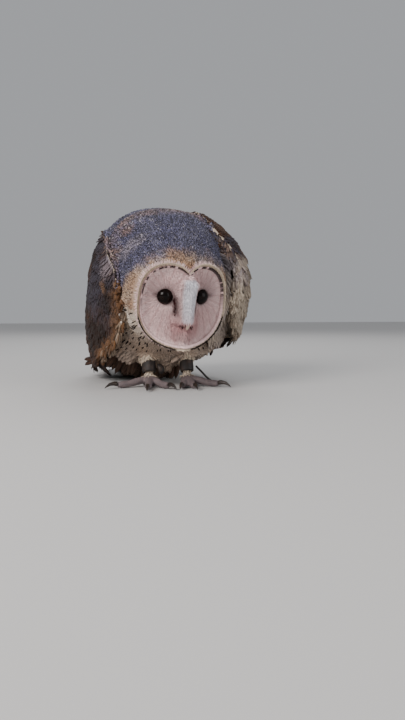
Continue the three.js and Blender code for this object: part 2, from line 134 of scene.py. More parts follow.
def new_mesh(name, points, faces, material=None):
    """A smooth mesh from arrays."""
    mesh = bpy.data.meshes.new(name)
    mesh.from_pydata(points.tolist(), [], faces.tolist())
    mesh.shade_smooth()
    if material:
        mesh.materials.append(material)
    return mesh


def mesh_arrays(mesh):
    """A mesh's points and its triangles."""
    points = np.empty(len(mesh.vertices) * 3, np.float32)
    mesh.vertices.foreach_get("co", points)
    mesh.calc_loop_triangles()
    triangles = np.empty(len(mesh.loop_triangles) * 3, np.int32)
    mesh.loop_triangles.foreach_get("vertices", triangles)
    return points.reshape(-1, 3), triangles.reshape(-1, 3)


def node_mesh(name):
    """A CAD node in owl millimetres: its points, those that share a place made one, and its triangles."""
    points, faces = mesh_arrays(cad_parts[name].data)
    points = points * 1000 - ORIGIN
    _, first, index = np.unique(np.round(points, 3), axis=0, return_index=True, return_inverse=True)
    return points[first], index.reshape(-1)[faces]


def corner_normals(points, faces):
    """Outward normals at the points, each the mean of the faces round it by area."""
    a, b, c = (points[faces[:, k]] for k in range(3))
    flat = np.cross(b - a, c - a)
    normals = np.zeros_like(points)
    for k in range(3):
        np.add.at(normals, faces[:, k], flat)
    return unit(normals)


def joined(parts):
    """Several meshes as one."""
    points = np.concatenate([p for p, _ in parts])
    starts = np.cumsum([0] + [len(p) for p, _ in parts[:-1]])
    return points, np.concatenate([f + start for (_, f), start in zip(parts, starts)])


def remeshed(points, faces, voxel):
    """One closed surface of even quads round the given closed pieces, as points and triangles."""
    draft = placed("draft", new_mesh("draft", points, faces))
    modifier = draft.modifiers.new("voxels", "REMESH")
    modifier.mode = "VOXEL"
    modifier.voxel_size = voxel
    shown = draft.evaluated_get(bpy.context.evaluated_depsgraph_get()).to_mesh()
    even, triangles = mesh_arrays(shown)
    bpy.data.objects.remove(draft)
    return even.astype(float), triangles


def relaxed(values, faces, rounds, share):
    """Values smoothed over the surface; share is how far each vertex follows its neighbours."""
    values = values.copy()
    total = len(values)
    ends = np.concatenate([faces[:, [0, 1]], faces[:, [1, 2]], faces[:, [2, 0]]])
    edges = np.maximum(np.bincount(ends[:, 0], minlength=total), 1)[:, None]
    share = np.broadcast_to(share, total)[:, None]
    for _ in range(rounds):
        sums = [np.bincount(ends[:, 0], column[ends[:, 1]], total) for column in values.T]
        values += (np.stack(sums, axis=1) / edges - values) * share
    return values


def make_object(name, points, faces, material, replaces):
    """A mesh object in the frame, from owl millimetres, riding on the root body."""
    piece = placed(name, new_mesh(name, to_row(points), faces, material))
    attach(piece, "root")
    if replaces:
        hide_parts(*replaces)
    return piece


def set_colour(piece, name, colours):
    attribute = piece.data.color_attributes.new(name, "FLOAT_COLOR", "POINT")
    rgba = np.ones((len(colours), 4), np.float32)
    rgba[:, :3] = colours
    attribute.data.foreach_set("color", rgba.ravel())


def set_value(piece, name, values):
    attribute = piece.data.attributes.new(name, "FLOAT", "POINT")
    attribute.data.foreach_set("value", np.asarray(values, np.float32))


# ---- face ----


def face_coordinates(points):
    """Across, up and out of the face, from the middle of the disc."""
    d = np.asarray(points) - DISC_CENTRE
    return d @ FACE_ACROSS, d @ FACE_UP, d @ FACE_OUT


def from_face(across, up, out):
    """Points from their places on the face."""
    across, up, out = np.broadcast_arrays(across, up, out)
    return DISC_CENTRE + across[:, None] * FACE_ACROSS + up[:, None] * FACE_UP + out[:, None] * FACE_OUT


def disc_rim(angle):
    """Rim of the heart-shaped disc, as a distance from its centre: angle 0 is the notch in the brow."""
    turn = np.abs(np.arctan2(np.sin(angle), np.cos(angle)))
    up = np.cos(turn)
    power = np.where(up > 0, 3, 2.15)
    tall = DISC_HEIGHT * np.where(up > 0, 0.54, 0.488)
    oval = ((np.sin(turn) / (DISC_WIDTH / 2)) ** power + (np.abs(up) / tall) ** power) ** (-1 / power)
    return oval - NOTCH_DEPTH * np.exp(-turn / math.radians(11))


def disc_reach(across, up):
    """0 in the middle of the disc and 1 on its rim."""
    return np.hypot(across, up) / disc_rim(np.arctan2(across, up))


def disc_fold(across):
    """How far the face stands out, as the disc's two halves are folded back from its midline."""
    return FACE_FOLD * np.maximum(0, 1 - np.abs(across) / (DISC_WIDTH / 2))


def ridge_width(up):
    return 7.9 + 0.09 * np.maximum(0, up)


def on_ridge(across, up):
    """1 on the wedge of feathers between the eyes, and 0 beside it."""
    along = (1 - smooth(24, 37, up)) * smooth(-16.5, -12, up)
    return along * np.exp(-(np.abs(across / ridge_width(up)) ** 3.2))


def eye_distance(across, up):
    return np.hypot(np.abs(across) - EYE_SPREAD / 2, up - EYE_HEIGHT)


def face_relief(across, up):
    """How far the face stands before the sides of the disc."""
    reach = disc_reach(across, up)
    dish = -DISH_DEPTH * (1 - reach**2) - 2.5 * bell(reach - 0.8, 0.15)
    bridge = (RIDGE_HEIGHT - FACE_FOLD + DISH_DEPTH) * on_ridge(across, up)
    chin = 3 * bell(up - CHIN_UP, 9) * bell(across, 14)
    socket = 0.7 * bell(np.maximum(eye_distance(across, up) - LID_RADIUS, 0), 4.0)
    return disc_fold(across) + dish + bridge + chin - socket


# ---- skin ----

FLESH = ["head", "neck", "trunk"]
for side in SIDES:
    FLESH += [f"wing_{side}", f"thigh_{side}", f"tarsus_{side}", f"foot_{side}"]
    FLESH += [f"toe_{side}_{toe}" for toe in TOE_NAMES]
BODY, LEG, FOOT = 0, 3, 4
WING = {"right": 1, "left": 2}
REGIONS = {"head": BODY, "neck": BODY, "trunk": BODY, "wing_right": WING["right"], "wing_left": WING["left"]}
COAT_DEPTH = {BODY: 4.2, WING["right"]: 2.6, WING["left"]: 2.6, LEG: 1.8, FOOT: 0.15}
HEAD_DEPTH = 3.2  # of the coat on the head
DISC_DEPTH = 0.7  # of the hairs on the disc
NODE_GAP = 0.3  # left between the solids
MOST_ROOM = 30.0  # to which a form's thickness is felt for

flesh_parts = []
flesh_region = []
for name in FLESH:
    points, faces = node_mesh(name)
    points = points + corner_normals(points, faces) * NODE_GAP
    flesh_parts.append((points, faces))
    region = REGIONS.get(name, FOOT if name.startswith(("foot", "toe")) else LEG)
    flesh_region.append(np.full(len(faces), region))
flesh_points, flesh_faces = joined(flesh_parts)
flesh_region = np.concatenate(flesh_region)

skin_points, skin_faces = remeshed(flesh_points, flesh_faces, SKIN_VOXEL)
solids = BVHTree.FromPolygons(flesh_points.tolist(), flesh_faces.tolist())
skin_region = np.array([flesh_region[solids.find_nearest(p)[2]] for p in skin_points.tolist()])
is_foot = skin_region == FOOT
# the seams between the nodes are rounded off, least on the feet and most on the body
skin_points = relaxed(skin_points, skin_faces, 5, np.where(is_foot, 0.25, 0.6))
skin_points = relaxed(skin_points, skin_faces, 25, np.where(skin_region == BODY, 0.6, 0.0))


def inset(points, faces, depth):
    """Moves a surface inwards by depth, less where the form is thin."""
    normals = corner_normals(points, faces)
    tree = BVHTree.FromPolygons(points.tolist(), faces.tolist())
    room = np.full(len(points), MOST_ROOM)
    starts = points - normals * 0.05
    for i, (start, inward) in enumerate(zip(starts.tolist(), (-normals).tolist())):
        hit = tree.ray_cast(start, inward, MOST_ROOM)
        if hit[3] is not None:
            room[i] = hit[3]
    depth = np.minimum(depth, room * 0.3)
    depth = relaxed(depth[:, None], faces, 6, 0.5)
    return points - normals * depth


across, up, out = face_coordinates(skin_points)
in_face = (disc_reach(across, up) < 1.0) & (out > FACE_BACK)
depth = np.vectorize(COAT_DEPTH.get)(skin_region).astype(float)
depth = np.where(out > -30, np.minimum(depth, HEAD_DEPTH), depth)
skin_points = inset(skin_points, skin_faces, depth)
across, up, out = face_coordinates(skin_points)
blend = 1 - smooth(0.9, 1.0, disc_reach(across, up))
relief = from_face(across, up, face_relief(across, up) - DISC_DEPTH)
in_face &= out > FACE_BACK - 2
skin_points = np.where(in_face[:, None], mix(skin_points, relief, blend), skin_points)
skin_normals = corner_normals(skin_points, skin_faces)

# ---- colours and markings ----


def srgb(code):
    """A linear colour from its hexadecimal code."""
    channels = np.array([code >> 16 & 255, code >> 8 & 255, code & 255]) / 255
    return np.where(channels < 0.04045, channels / 12.92, ((channels + 0.055) / 1.055) ** 2.4)


SLATE = srgb(0x605E7C)
PALE_GREY = srgb(0xA9A6B6)
SOOT = srgb(0x1D1817)
BUFF = srgb(0xAD896F)
APRICOT = srgb(0xA87E5C)
GOLD = srgb(0x855E3C)
CREAM = srgb(0xD9C7B2)
WHITE = srgb(0xEFE6E0)
LILAC = srgb(0xAFA3AC)
DISC_WHITE = srgb(0xFCE1DF)
DISC_PINK = srgb(0xC48C8D)
DISC_SHADE = srgb(0x8C7375)
RIDGE_WHITE = srgb(0xF1EEF5)
MAROON = srgb(0x300C0E)
RIM_DARK = srgb(0x120806)
WING_BROWN = srgb(0x4A3023)
WING_DARK = srgb(0x22140E)
WING_GREY = srgb(0x484450)
TOE_GREY = srgb(0x6C6062)

# The spine from the face to the tail: how far behind the feet it is, and how high.
AXIS_Y = [-62, -18, 26, 70, 108, 138]
AXIS_Z = [86, 104, 104, 88, 63, 38]

# Marks with a place of their own: middle, reach, colour, and how strongly it shows.
BODY_MARKS = [
    ((-44.6, -17, 163), 9, APRICOT, 0.7),
    ((-38, -42, 149), 12, LILAC, 0.45),
    ((-48.5, -35, 143), 12, LILAC, 0.6),
    ((-58, -17, 137), 12, BUFF, 0.6),
    ((-20, -3, 184), 18, BUFF, 0.4),
    ((12, 8, 190), 12, BUFF, 0.3),
    ((-56, -10, 120), 16, BUFF, 0.5),
    ((68, 2, 112), 42, CREAM, 0.9),
    # painted shade: the lower rear right flank is darkened under the right wing
    ((-60, 40, 40), 30, WING_DARK, 0.9),
    ((-40, 62, 34), 30, WING_DARK, 0.85),
]
WING_MARKS = {
    "right": [
        ((-66, -22, 131), 14, LILAC, 0.6),
        ((-71.6, -15, 115), 7, APRICOT, 0.75),
        ((-75, 3, 134), 15, WING_GREY, 0.9),
        ((-66, -28, 117), 10, WING_GREY, 0.8),
        ((-63, -31, 101), 12, GOLD, 0.5),
        ((-58, -26, 78), 15, APRICOT, 0.7),
        ((-60, -12, 54), 12, GOLD, 0.8),
        ((-82, 50, 112), 22, WING_GREY, 0.8),
        ((-80, 84, 96), 15, APRICOT, 0.4),
    ],
    "left": [
        ((70, -18, 127), 18, LILAC, 0.9),
        ((81, -11, 140), 12, CREAM, 0.85),
        ((89, -9, 117), 9, GOLD, 0.7),
        ((75, -18, 100), 18, CREAM, 0.95),
        ((76, -14, 78), 20, CREAM, 0.95),
        ((70, 8, 108), 34, CREAM, 0.9),
        ((92, 30, 130), 22, WING_GREY, 0.8),
        ((84, 70, 110), 18, WING_GREY, 0.7),
        ((60, 10, 176), 16, BUFF, 0.3),
        ((84, 4, 152), 14, BUFF, 0.45),
    ],
}


def marked(tint, points, marks):
    """The tint with the marks laid over it, their edges rough."""
    rough = noise(points, 4, 11) - 0.5
    for place, reach, colour, strength in marks:
        distance = np.linalg.norm(points - np.array(place), axis=1)
        near = 1 - smooth(0.3, 1.3, distance / reach + 0.5 * rough)
        tint = mix(tint, colour, strength * near)
    return tint


def body_angle(points):
    """Degrees from the back, over the flank, to the belly."""
    middle = np.interp(points[:, 1], AXIS_Y, AXIS_Z)
    return np.degrees(np.arctan2(np.abs(points[:, 0]), points[:, 2] - middle))


def body_marking(points):
    """Tint of the head, neck and trunk, how strongly it is flecked, and how far it is underparts."""
    across, up, out = face_coordinates(points)
    back = -out
    turn = np.degrees(np.abs(np.arctan2(across, up)))
    angle = body_angle(points)
    rough = noise(points, 9, 1) - 0.5
    fine = noise(points, 3, 12) - 0.5
    tint = mix(SLATE, PALE_GREY, np.clip(0.2 * noise(points, 16, 2) + 0.14 * (rough + fine), 0, 1))
    mantle = smooth(60, 95, back) * smooth(0.45, 0.7, noise(points, 22, 3))
    tint = mix(tint, BUFF, 0.6 * mantle)
    brow = back + 0.8 * disc_fold(across)
    # a buff collar round the disc: 8 mm over the brow and 37 at the sides
    collar = 8 + 29 * smooth(30, 95, turn)
    buff = 1 - smooth(collar - 8, collar + 9, brow + 10 * rough + 7 * fine)
    tint = mix(tint, mix(BUFF, CREAM, 0.25 + 0.6 * rough), buff)
    flank = smooth(66, 88, angle + 14 * rough) * smooth(30, 60, back)
    tint = mix(tint, BUFF, flank)
    under = smooth(88, 110, angle + 14 * rough) * smooth(2, 16, back + 14 * smooth(110, 150, turn))
    tint = mix(tint, mix(CREAM, WHITE, 0.6 * noise(points, 12, 4)), under)
    # a warm wedge in the notch of the brow
    wedge = (1 - smooth(1, 4, np.abs(across) - 0.4 * (up - 32))) * smooth(24, 30, up)
    tint = mix(tint, APRICOT, 0.7 * wedge * (1 - smooth(34, 42, up)) * (1 - smooth(14, 24, back)))
    tint = marked(tint, points, BODY_MARKS)
    # painted shade: the underparts darken to a deep buff low down, towards the floor
    low = under * smooth(80, 48, points[:, 2])
    tint = mix(tint, BUFF * 0.7, 0.6 * low)
    fleck = (1 - 0.4 * buff) * (1 - 0.9 * under)
    return tint, fleck, under


def face_marking(points):
    """Tint of the disc, the ridge down its middle and the rims of the eyes."""
    across, up, _ = face_coordinates(points)
    side = np.abs(across)
    reach = disc_reach(across, up)
    ridge = on_ridge(across, up)
    tint = mix(DISC_WHITE, DISC_PINK, 0.2 * bell(reach - 0.5, 0.3) + 0.1 * noise(points, 6, 5))
    # fine darker lines run out from each eye
    rays = np.sin(np.arctan2(up - EYE_HEIGHT, side - EYE_SPREAD / 2) * 18 + 4 * noise(points, 12, 13))
    tint = mix(tint, DISC_PINK, 0.28 * smooth(0.55, 1.0, rays) * smooth(8, 14, eye_distance(across, up)))
    tint = mix(tint, RIDGE_WHITE, smooth(0.62, 0.9, ridge))
    # painted shade: the disc darkens round each eye, most above and outside it
    painted_eye_shade = np.hypot((side - EYE_SPREAD / 2 - 3) / 1.3, up - EYE_HEIGHT - 4)
    tint = mix(tint, DISC_SHADE, 0.62 * bell(painted_eye_shade, 11) * (1 - ridge))
    beside_bill = bell(np.hypot(side - 5, (up + 19) / 1.2), 10)
    tint = mix(tint, DISC_PINK, 0.8 * beside_bill * (1 - 0.6 * ridge))
    bristles = bell(up - CHIN_UP, 9) * bell(across, 9) * smooth(0.3, 0.9, np.sin(across * 2.6))
    tint = mix(tint, MAROON, 0.4 * bristles)
    nostrils = bell(np.hypot(side - NOSTRIL_SIDE, up + 17.5), 1.9)
    tint = mix(tint, MAROON, nostrils)
    # a dark streak runs down from the inner corner of each eye
    streak = bell(side - ridge_width(up) - 1.5, 2.6) * smooth(-12, -4, up) * (1 - smooth(8, 15, up))
    tint = mix(tint, MAROON, 0.9 * streak)
    around = bell(np.maximum(eye_distance(across, up) - LID_RADIUS - 0.4, 0), 2.0)
    outer_corner = bell(np.hypot((side - EYE_SPREAD / 2 - 9) / 1.8, up - EYE_HEIGHT - 1.5), 2.6)
    return mix(tint, MAROON, np.minimum(0.75 * around + 0.7 * outer_corner, 0.9))


# Leading edges of the folded wings, from the wrist down.
WING_EDGE = {
    "right": [(-60, -40, 112), (-51, -43, 92), (-52, -34, 72), (-58, -17, 56), (-63, 0, 45), (-68, 18, 36)],
    "left": [(85, -14, 132), (82, -19, 112), (73, -21, 94), (68, -20, 80), (74, -10, 66), (80, 4, 56)],
}


def from_edge(points, side):
    """Distance from a wing's leading edge."""
    corners = np.array(WING_EDGE[side], float)
    way = np.linspace(0, len(corners) - 1, 40)
    line = np.stack([np.interp(way, np.arange(len(corners)), axis) for axis in corners.T], axis=1)
    return np.sqrt(((points[:, None] - line[None]) ** 2).sum(2)).min(1)


def bordered(tint, points, side):
    """A wing's tint with its marks, and a warm band and a pale border along the leading edge."""
    tint = marked(tint, points, WING_MARKS[side])
    distance = from_edge(points, side) + 4 * (noise(points, 5, 17) - 0.5)
    band = bell(np.maximum(distance - 8, 0), 7) * (1 - smooth(100, 122, points[:, 2]))
    tint = mix(tint, GOLD if side == "right" else CREAM, 0.75 * band)
    border = (1 - smooth(2, 6, distance)) * (1 - smooth(76, 96, points[:, 2]))
    return mix(tint, CREAM, 0.7 * border)


def wing_marking(points, side, inner=False):
    """Tint of a wing's outer or inner face, and how strongly it is flecked."""
    rough = noise(points, 7, 6) - 0.5
    patches = smooth(0.45, 0.62, noise(points, 22, 7) + 0.25 * rough)
    if inner:
        tint = mix(CREAM, LILAC, patches) if side == "left" else mix(WING_BROWN, BUFF, 0.5 * patches)
        tint = mix(tint, CREAM, smooth(20, 60, points[:, 1]) * smooth(110, 80, points[:, 2]))
        tint = bordered(tint, points, side)
        high = smooth(130, 146, points[:, 2])
        return mix(tint, mix(WING_GREY, BUFF, 0.4 * patches), high), 0.15 * patches + 0.4 * high
    tint = mix(WING_BROWN, WING_GREY, patches * smooth(50, 110, points[:, 2]))
    tint = mix(tint, WING_DARK, smooth(0.45, 0.7, noise(points, 15, 8)) * 0.85)
    tint = bordered(tint, points, side)
    return tint, 0.2 + 0.3 * patches


# ---- where feathers grow ----

face_corner = skin_points[skin_faces]
face_area = np.linalg.norm(
    np.cross(face_corner[:, 1] - face_corner[:, 0], face_corner[:, 2] - face_corner[:, 0]), axis=1
) / 2
face_centre = face_corner.mean(1)
face_normal = skin_normals[skin_faces[:, 0]]
face_region = skin_region[skin_faces[:, 0]]


def scatter(chosen, spacing, seed):
    """Roots spread over the chosen faces of the skin about spacing millimetres apart, and their normals."""
    order = np.random.default_rng(seed)
    index = np.nonzero(chosen)[0]
    spacing = np.broadcast_to(spacing, len(skin_faces))[index]
    # more roots than are wanted, of which one is kept in each cell of the spacing
    wanted = 5 * face_area[index] / spacing**2
    copies = np.floor(wanted + order.random(len(index))).astype(int)
    pick = np.repeat(index, copies)
    size = np.repeat(spacing, copies)
    a, b = order.random((2, len(pick)))
    flip = a + b > 1
    a, b = np.where(flip, 1 - a, a), np.where(flip, 1 - b, b)
    weights = np.stack([1 - a - b, a, b], axis=1)[:, :, None]
    roots = (skin_points[skin_faces[pick]] * weights).sum(1)
    normals = unit((skin_normals[skin_faces[pick]] * weights).sum(1))
    level = np.round(np.log(size) * 8)
    step = np.exp(level / 8)
    cells = np.concatenate([level[:, None], np.floor(roots / step[:, None])], axis=1)
    shuffled = order.permutation(len(roots))
    _, first = np.unique(cells[shuffled], axis=0, return_index=True)
    kept = shuffled[first]
    return roots[kept], normals[kept]


def along_skin(directions, normals):
    """The directions laid flat on the skin."""
    return unit(directions - (directions * normals).sum(1, keepdims=True) * normals)


def room_along(directions, normals):
    """Share of its length that a feather keeps where the flow runs out of the skin."""
    leaving = np.abs((unit(directions) * normals).sum(1))
    return 1 - 0.7 * smooth(0.7, 0.98, leaving)


MOST_TRIANGLES = 190_000  # of one piece
FLOOR_GAP = 0.4
UV_PATCH = 0.003
FEATHER_ARCH = 0.12


def outlined(*rings):
    """A feather's outline from its root to its tip: shares of its length, and of its full width."""
    return np.array([(0, 0), *rings, (1, 0)]).T


TUFT = outlined((0.3, 0.95), (0.72, 0.8))
DOWN = outlined((0.12, 0.55), (0.45, 1.0), (0.8, 0.62))
LEAF = outlined((0.1, 0.5), (0.4, 0.92), (0.7, 1.0), (0.9, 0.66))
BLADE = outlined((0.06, 0.3), (0.2, 0.7), (0.4, 0.95), (0.6, 1.0), (0.78, 0.96), (0.9, 0.76), (0.97, 0.42))
HAIR = outlined((0.3, 1.0), (0.75, 0.7))


class Coat:
    """Many closed feathers in one mesh. Each is a root, rings of four points and a tip."""

    def __init__(self, name, slot, replaces=()):
        self.name, self.slot, self.replaces = name, slot, replaces
        self.feathers = []

    def add(self, roots, normals, directions, length, width, outline, tint, fleck, chart, rise,
            thickness=0.35, curve=0.0, sink=0.8, tip_tint=None):
        """Feathers from their roots: they leave the skin, then lie along it at the height rise."""
        length, rise = (np.broadcast_to(v, len(roots))[:, None] for v in (length, rise))
        shares = outline[0]
        height = rise * (1 - (1 - shares) ** 1.7) - sink * (1 - shares) ** 2
        height = height - curve * (length * shares) ** 2 / 2
        spines = roots[:, None] + directions[:, None] * (length * shares)[..., None]
        spines = spines + normals[:, None] * height[..., None]
        normals = np.broadcast_to(normals[:, None], spines.shape)
        tip_tint = tint if tip_tint is None else tip_tint
        self.lay(spines, normals, width, outline, tint, tip_tint, fleck, chart(roots), thickness)

    def vane(self, points, normals, width, tint, tip_tint, fleck, place, thickness):
        """One long barred feather."""
        points, normals, tint, tip_tint, place = (v[None] for v in (points, normals, tint, tip_tint, place))
        self.lay(points, normals, width, BLADE, tint, tip_tint, fleck, place, thickness, bars=1.0)

    def lay(self, spines, normals, width, outline, tint, tip_tint, fleck, place, thickness, bars=0.0):
        """Closed feathers along spines of one point for the root, each ring of the outline and the tip."""
        shares, widths = outline
        total, rings = len(spines), len(shares) - 2
        sides = unit(np.cross(np.gradient(spines, axis=1), normals))
        width = np.broadcast_to(width, total)[:, None]
        half = (width * widths / 2)[..., None] * sides
        arch = FEATHER_ARCH * np.linalg.norm(half, axis=-1, keepdims=True) * normals
        body = thickness * np.sqrt(widths)[None, :, None] * normals / 2
        ring = np.stack([spines - half - arch, spines + body, spines + half - arch, spines - body], axis=2)
        points = np.concatenate([spines[:, :1], ring[:, 1:-1].reshape(total, -1, 3), spines[:, -1:]], axis=1)
        points[..., 2] = np.maximum(points[..., 2], FLOOR_GAP)
        size = 4 * rings + 2
        faces = []
        for k in range(4):
            n = (k + 1) % 4
            faces.append((0, 1 + n, 1 + k))
            for r in range(rings - 1):
                a, b = 1 + 4 * r, 5 + 4 * r
                faces += [(a + k, a + n, b + n), (a + k, b + n, b + k)]
            last = 1 + 4 * (rings - 1)
            faces.append((size - 1, last + k, last + n))
        share = np.concatenate([[0], np.repeat(shares[1:-1], 4), [1]])
        across = np.concatenate([[0.5], np.tile([0, 0.5, 1, 0.5], rings), [0.5]])
        local = np.stack([across - 0.5, share - 0.5], axis=1) * UV_PATCH
        whole = np.linalg.norm(np.diff(spines, axis=1), axis=2).sum(1)[:, None]
        fleck = np.broadcast_to(fleck, total)[:, None]
        values = {
            "fleck": fleck, "bars": bars, "along": share, "reach": share * whole, "across": across * 2 - 1,
        }
        self.feathers.append({
            "points": points,
            "faces": np.broadcast_to(np.array(faces), (total, len(faces), 3)),
            "uv": place[:, None] + local,
            "tint": mix(tint[:, None], tip_tint[:, None], share[None]),
            **{key: np.broadcast_to(value, (total, size)) for key, value in values.items()},
        })

    def make(self, material):
        """One piece, or several under the limit of triangles."""
        whole = sum(part["faces"].shape[0] * part["faces"].shape[1] for part in self.feathers)
        pieces = math.ceil(whole / MOST_TRIANGLES)
        for number in range(pieces):
            self.make_piece(number, pieces, material)

    def make_piece(self, number, pieces, material):
        """Every feather of this number, counted round the pieces, as one mesh object."""
        name = self.name if pieces == 1 else f"{self.name}_{number + 1}"
        taken = [{key: value[number::pieces] for key, value in part.items()} for part in self.feathers]
        faces = []
        start = 0
        for part in taken:
            count, size, _ = part["points"].shape
            offsets = start + size * np.arange(count)
            faces.append((part["faces"] + offsets[:, None, None]).reshape(-1, 3))
            start += count * size
        faces = np.concatenate(faces)

        def flat(key):
            return np.concatenate([part[key].reshape(-1, *part[key].shape[2:]) for part in taken])

        replaced = self.replaces if number == 0 else ()
        piece = make_object(name, flat("points"), faces, material, replaced)
        set_colour(piece, "tint", flat("tint"))
        for key in ("fleck", "bars", "along", "reach", "across"):
            set_value(piece, key, flat(key))
        layer = piece.data.uv_layers.new(name="OFBake")
        layer.data.foreach_set("uv", flat("uv")[faces.ravel()].astype(np.float32).ravel())


def around_body(roots):
    """Unwrap of the trunk and head: turn about the spine, and way along it."""
    middle = np.interp(roots[:, 1], AXIS_Y, AXIS_Z)
    turn = np.arctan2(roots[:, 0], roots[:, 2] - middle) / (2 * math.pi) + 0.5
    way = (roots[:, 1] + 95) / 270
    return np.stack([0.01 + 0.98 * turn, np.clip(way, 0.01, 0.99)], axis=1)


def on_disc(roots):
    """The disc seen straight on."""
    across, up, _ = face_coordinates(roots)
    return np.stack([0.5 + across / 110, 0.5 + up / 110], axis=1)


def beside(roots):
    """Unwrap of a plate that stands upright along the body: its outer face, then its inner one."""
    inner = np.abs(roots[:, 0]) < np.interp(roots[:, 1], [-40, 40, 240], [60, 72, 30])
    return np.stack([0.02 + 0.46 * (roots[:, 1] + 60) / 310 + 0.5 * inner, 0.02 + roots[:, 2] / 220], axis=1)


def on_legs(roots):
    """Unwrap of the legs: turn about each, and height."""
    turn = np.arctan2(roots[:, 1] - 4, np.abs(roots[:, 0]) - 21) / (2 * math.pi) + 0.5
    left = roots[:, 0] > 0
    return np.stack([0.01 + 0.48 * turn + 0.5 * left, 0.02 + roots[:, 2] / 110], axis=1)


# ---- materials ----

BAR_STEP = 30.0  # from one dark bar of a long feather to the next
BARB_STEP = 0.9  # from one barb to the next
# painted shade laid on each feather towards its root, where the feathers over it shade it
PAINTED_ROOT_SHADE = srgb(0x3A2F2C)
BARE_BROWN = (0.3, 0.22, 0.2)


class Nodes:
    """Short calls for building a material's node tree."""

    def __init__(self, name):
        self.material = bpy.data.materials.new(name)
        self.material.use_nodes = True
        self.tree = self.material.node_tree
        self.shader = self.tree.nodes["Principled BSDF"]

    def feed(self, socket, value):
        if isinstance(value, bpy.types.NodeSocket):
            self.tree.links.new(value, socket)
        else:
            socket.default_value = value

    def add(self, kind, inputs=(), **settings):
        node = self.tree.nodes.new("ShaderNode" + kind)
        for key, value in settings.items():
            setattr(node, key, value)
        for key, value in dict(inputs).items():
            self.feed(node.inputs[key], value)
        return node

    def link(self, output, name):
        self.tree.links.new(output, self.shader.inputs[name])

    def attribute(self, name, output="Fac"):
        return self.add("Attribute", attribute_name=name).outputs[output]

    def noise(self, scale, detail=3.0, roughness=0.6):
        place = self.add("TexCoord").outputs["Object"]
        inputs = {"Vector": place, "Scale": scale, "Detail": detail, "Roughness": roughness}
        return self.add("TexNoise", inputs).outputs["Fac"]

    def ramp(self, value, low, high, floor=0.0, top=1.0):
        inputs = {"Value": value, "From Min": low, "From Max": high, "To Min": floor, "To Max": top}
        return self.add("MapRange", inputs, interpolation_type="SMOOTHSTEP").outputs["Result"]

    def math(self, operation, a, b):
        return self.add("Math", {0: a, 1: b}, operation=operation).outputs["Value"]

    def times(self, a, b):
        return self.math("MULTIPLY", a, b)

    def mix(self, share, a, b):
        node = self.tree.nodes.new("ShaderNodeMix")
        node.data_type = "RGBA"
        sockets = {socket.identifier: socket for socket in node.inputs}
        self.feed(sockets["Factor_Float"], share)
        for key, value in (("A_Color", a), ("B_Color", b)):
            self.feed(sockets[key], value if isinstance(value, bpy.types.NodeSocket) else (*value, 1))
        return next(s for s in node.outputs if s.identifier == "Result_Color")

    def bump(self, height, strength, distance):
        node = self.add("Bump", {"Height": height, "Strength": strength, "Distance": distance})
        self.link(node.outputs["Normal"], "Normal")

    def finished(self, numbers):
        """The material, with its uniform numbers set straight on the shader's sockets."""
        for name, value in numbers.items():
            self.shader.inputs[name].default_value = value
        return self.material


def plumage(name, roughness, salt_share, vaned=False):
    """Feathers in their own tint, with salt and pepper where they are flecked, and painted shade towards
    their roots.
    """
    m = Nodes(name)
    fleck = m.attribute("fleck")
    pepper = m.times(m.ramp(m.noise(640.0, 2.0, 0.7), 0.5, 0.56), m.times(fleck, 0.85))
    salt = m.times(m.ramp(m.noise(480.0, 3.0, 0.65), 0.57, 0.66), m.times(fleck, salt_share))
    colour = m.mix(pepper, m.attribute("tint", "Color"), SOOT)
    colour = m.mix(salt, colour, PALE_GREY)
    height = m.noise(900.0, 2.0)
    if vaned:
        side = m.math("ABSOLUTE", m.attribute("across"), 0.0)
        reach = m.attribute("reach")
        colour = m.mix(m.times(m.ramp(side, 0.5, 1.0), m.times(fleck, 0.6)), colour, GOLD)
        ragged = m.math("ADD", reach, m.times(m.noise(240.0), 5.0))
        wave = m.math("SINE", m.times(ragged, 2 * math.pi / BAR_STEP), 0.0)
        colour = m.mix(m.times(m.ramp(wave, 0.25, 0.6), m.times(m.attribute("bars"), 0.8)), colour, WING_DARK)
        colour = m.mix(m.ramp(side, 0.05, 0.2, 0.5, 0.0), colour, SOOT)
        barb = m.math("SUBTRACT", m.times(reach, 2 * math.pi / BARB_STEP), m.times(side, 9.0))
        height = m.math("ADD", height, m.times(m.math("SINE", barb, 0.0), 0.25))
    # painted shade: each feather darkens over the half of its length nearest its root
    root = m.ramp(m.attribute("along"), 0.0, 0.5, 0.35, 0.0)
    m.link(m.mix(root, colour, PAINTED_ROOT_SHADE), "Base Color")
    m.bump(height, 0.5, 0.0004)
    sheen = {"Sheen Weight": 0.04, "Sheen Roughness": 0.5}
    return m.finished({"Roughness": roughness, "Specular IOR Level": 0.12, **sheen})


def skin_material():
    m = Nodes("skin")
    tint = m.attribute("tint", "Color")
    m.link(m.mix(m.ramp(m.noise(300.0), 0.4, 0.7, 0.0, 0.3), tint, BARE_BROWN), "Base Color")
    scales = m.add("TexVoronoi", {"Vector": m.add("TexCoord").outputs["Object"], "Scale": 620.0})
    m.bump(scales.outputs["Distance"], 0.5, 0.0006)
    return m.finished({"Roughness": 0.62})


def mottled(name, colours, patches, grain, numbers):
    """Two colours in patches of noise, and a fine grain where there is one."""
    m = Nodes(name)
    scale, detail, low, high = patches
    m.link(m.mix(m.ramp(m.noise(scale, detail), low, high), *map(srgb, colours)), "Base Color")
    if grain:
        scale, detail, strength, depth = grain
        m.bump(m.noise(scale, detail), strength, depth)
    return m.finished(numbers)


def horn(name, colours, roughness):
    patches, grain = (180.0, 4.0, 0.35, 0.7), (700.0, 3.0, 0.2, 0.0002)
    return mottled(name, colours, patches, grain, {"Roughness": roughness})


def leather_material():
    patches, grain = (120.0, 4.0, 0.45, 0.75), (520.0, 4.0, 0.6, 0.0004)
    return mottled("leather", (0x1D1512, 0x3F2E24), patches, grain, {"Roughness": 0.6})


